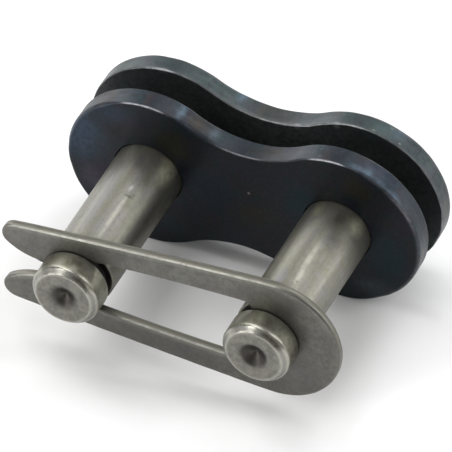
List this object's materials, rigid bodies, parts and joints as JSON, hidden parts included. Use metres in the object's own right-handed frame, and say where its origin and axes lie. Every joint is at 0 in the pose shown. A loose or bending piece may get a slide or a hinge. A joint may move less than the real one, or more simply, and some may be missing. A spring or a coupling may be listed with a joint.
{
  "type": "roller chain connecting link",
  "caption": "Spring-clip connecting link for a roller chain: grooved pins fixed in a waisted side plate, a loose cover plate on them, and a flat forked clip that locks their ends.",
  "frame": {"origin": "halfway between the two pin axes, on the chain's centre plane", "axes": "+X along the chain, from the clip's open end to its closed end; +Y along the pins, towards the plate that they are fixed in; +Z across the height of the side plates"},
  "size_m": [0.0238, 0.018, 0.011],
  "materials": {
    "plate_steel": "blue-black heat tinted, semi-gloss, lightly worn along the rims",
    "pin_steel": "bare ground steel, fine streaks along the pin",
    "clip_steel": "bare rolled spring steel, satin"
  },
  "bodies": {
    "link": {"pin_plate": "plate_steel", "pin_left": "pin_steel", "pin_right": "pin_steel"},
    "cover": {"cover_plate": "plate_steel"},
    "clip": {"spring_clip": "clip_steel"}
  },
  "joints": [
    {"name": "cover_slide", "type": "slide", "parent": "link", "child": "cover", "axis": [0, -1, 0], "range_m": [-0.00195, 0.0098]},
    {"name": "clip_slide", "type": "slide", "parent": "link", "child": "clip", "axis": [1, 0, 0], "range_m": [0, 0.0072], "deforming": ["spring_clip"]}
  ]
}
